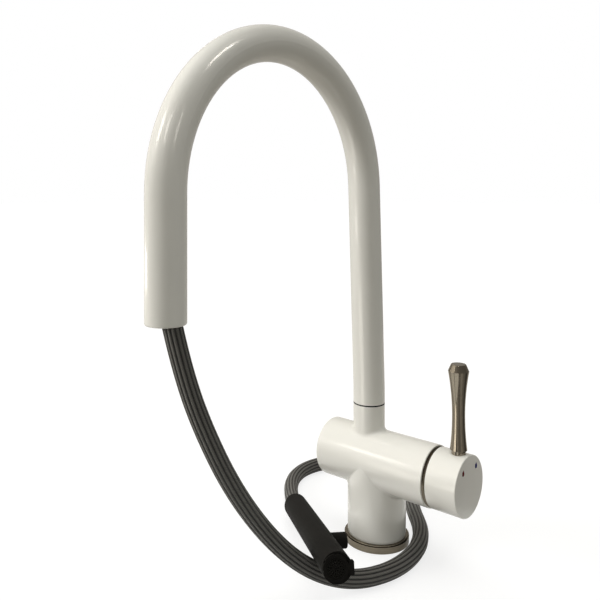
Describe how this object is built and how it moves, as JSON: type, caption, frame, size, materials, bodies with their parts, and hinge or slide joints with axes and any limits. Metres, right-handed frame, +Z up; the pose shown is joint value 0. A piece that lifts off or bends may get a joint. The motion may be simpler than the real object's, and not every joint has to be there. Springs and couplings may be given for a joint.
{
  "type": "kitchen mixer tap",
  "caption": "Kitchen mixer tap with a swan-neck swivel spout, a side lever handle and a pull-out spray head on a braided hose.",
  "frame": {"origin": "centre of the base ring's underside, on the worktop", "axes": "+Z up from the worktop, -Y towards the spout's outlet over the sink, +X along the handle's axis towards the handle"},
  "size_m": [0.2272, 0.3795, 0.4379],
  "materials": {
    "white_enamel": "smooth warm white paint, satin gloss",
    "satin_steel": "satin",
    "fixing_steel": "satin",
    "brass": "machined",
    "black_plastic": "fine matt",
    "inner_plastic": "moulded",
    "ceramic_disc": "lapped",
    "seal_rubber": "matt",
    "hose_braid": "grey braid with darker lengthwise lines",
    "hot_red": "gloss",
    "cold_blue": "gloss"
  },
  "bodies": {
    "mixer_base": {"mixer_body": "white_enamel", "base_ring": "satin_steel", "base_gasket": "seal_rubber", "lower_swivel_bush": "inner_plastic", "upper_swivel_bush": "inner_plastic", "swivel_stop_screw": "fixing_steel", "hose_tail_coupling": "brass", "hose_riser_run": "hose_braid", "cartridge_base": "inner_plastic", "hot_port_seal": "seal_rubber", "cold_port_seal": "seal_rubber", "mixed_port_seal": "seal_rubber", "fixed_ceramic_disc": "ceramic_disc", "cartridge_housing": "inner_plastic", "cartridge_nut": "brass", "trim_collar": "satin_steel"},
    "spout": {"spout_tube": "white_enamel", "spout_spigot": "brass", "spigot_oring_1": "seal_rubber", "spigot_oring_2": "seal_rubber", "outlet_sleeve": "inner_plastic", "hose_spout_run": "hose_braid", "hose_free_run": "hose_braid", "hose_ferrule": "fixing_steel", "hose_swivel_nut": "brass"},
    "spray_head": {"spray_head_shell": "black_plastic", "head_rear_bush": "black_plastic", "head_inlet_stem": "inner_plastic", "head_stem_washer": "seal_rubber", "head_check_valve": "inner_plastic", "head_waterway_tube": "inner_plastic", "diverter_block": "inner_plastic", "diverter_spring": "fixing_steel", "nozzle_ring": "black_plastic", "nozzle_spray_plate": "black_plastic", "nozzle_flow_screen": "inner_plastic", "nozzle_seal": "seal_rubber", "nozzle_tab": "black_plastic"},
    "diverter": {"diverter_button": "black_plastic", "diverter_spool": "inner_plastic"},
    "lever_turret": {"lever_guide": "inner_plastic", "lever_pivot_pin": "fixing_steel"},
    "handle": {"handle_cap": "white_enamel", "handle_lever": "satin_steel", "handle_grub_screw": "fixing_steel", "cartridge_spindle": "fixing_steel", "hot_mark": "hot_red", "cold_mark": "cold_blue"},
    "mixing_disc": {"moving_ceramic_disc": "ceramic_disc", "disc_carrier": "inner_plastic"}
  },
  "joints": [
    {"name": "spout_swivel", "type": "hinge", "parent": "mixer_base", "child": "spout", "pos_m": [-0.008, 0, 0.12], "axis": [0, 0, 1], "range_deg": [-60, 60]},
    {"name": "lever_turn", "type": "hinge", "parent": "mixer_base", "child": "lever_turret", "pos_m": [0.04, 0, 0.0715], "axis": [1, 0, 0], "range_deg": [-45, 45]},
    {"name": "lever_tilt", "type": "hinge", "parent": "lever_turret", "child": "handle", "pos_m": [0.04, 0, 0.0715], "axis": [0, 1, 0], "range_deg": [0, 9]},
    {"name": "disc_slide", "type": "slide", "parent": "lever_turret", "child": "mixing_disc", "axis": [0, 0, 1], "range_m": [0, 0.0009]},
    {"name": "head_swivel", "type": "hinge", "parent": "spout", "child": "spray_head", "pos_m": [-0.079, -0.0195, 0.012], "axis": [0.7434, -0.6377, 0.2017], "range_deg": [-30, 180]},
    {"name": "button_press", "type": "slide", "parent": "spray_head", "child": "diverter", "axis": [-0.6511, -0.759, 0], "range_m": [0, 0.002], "stiffness_N_per_m": 400, "springref_m": -0.001}
  ],
  "couplings": [
    {"joint": "disc_slide", "follows": "lever_tilt", "m_per_rad": 0.00565}
  ]
}
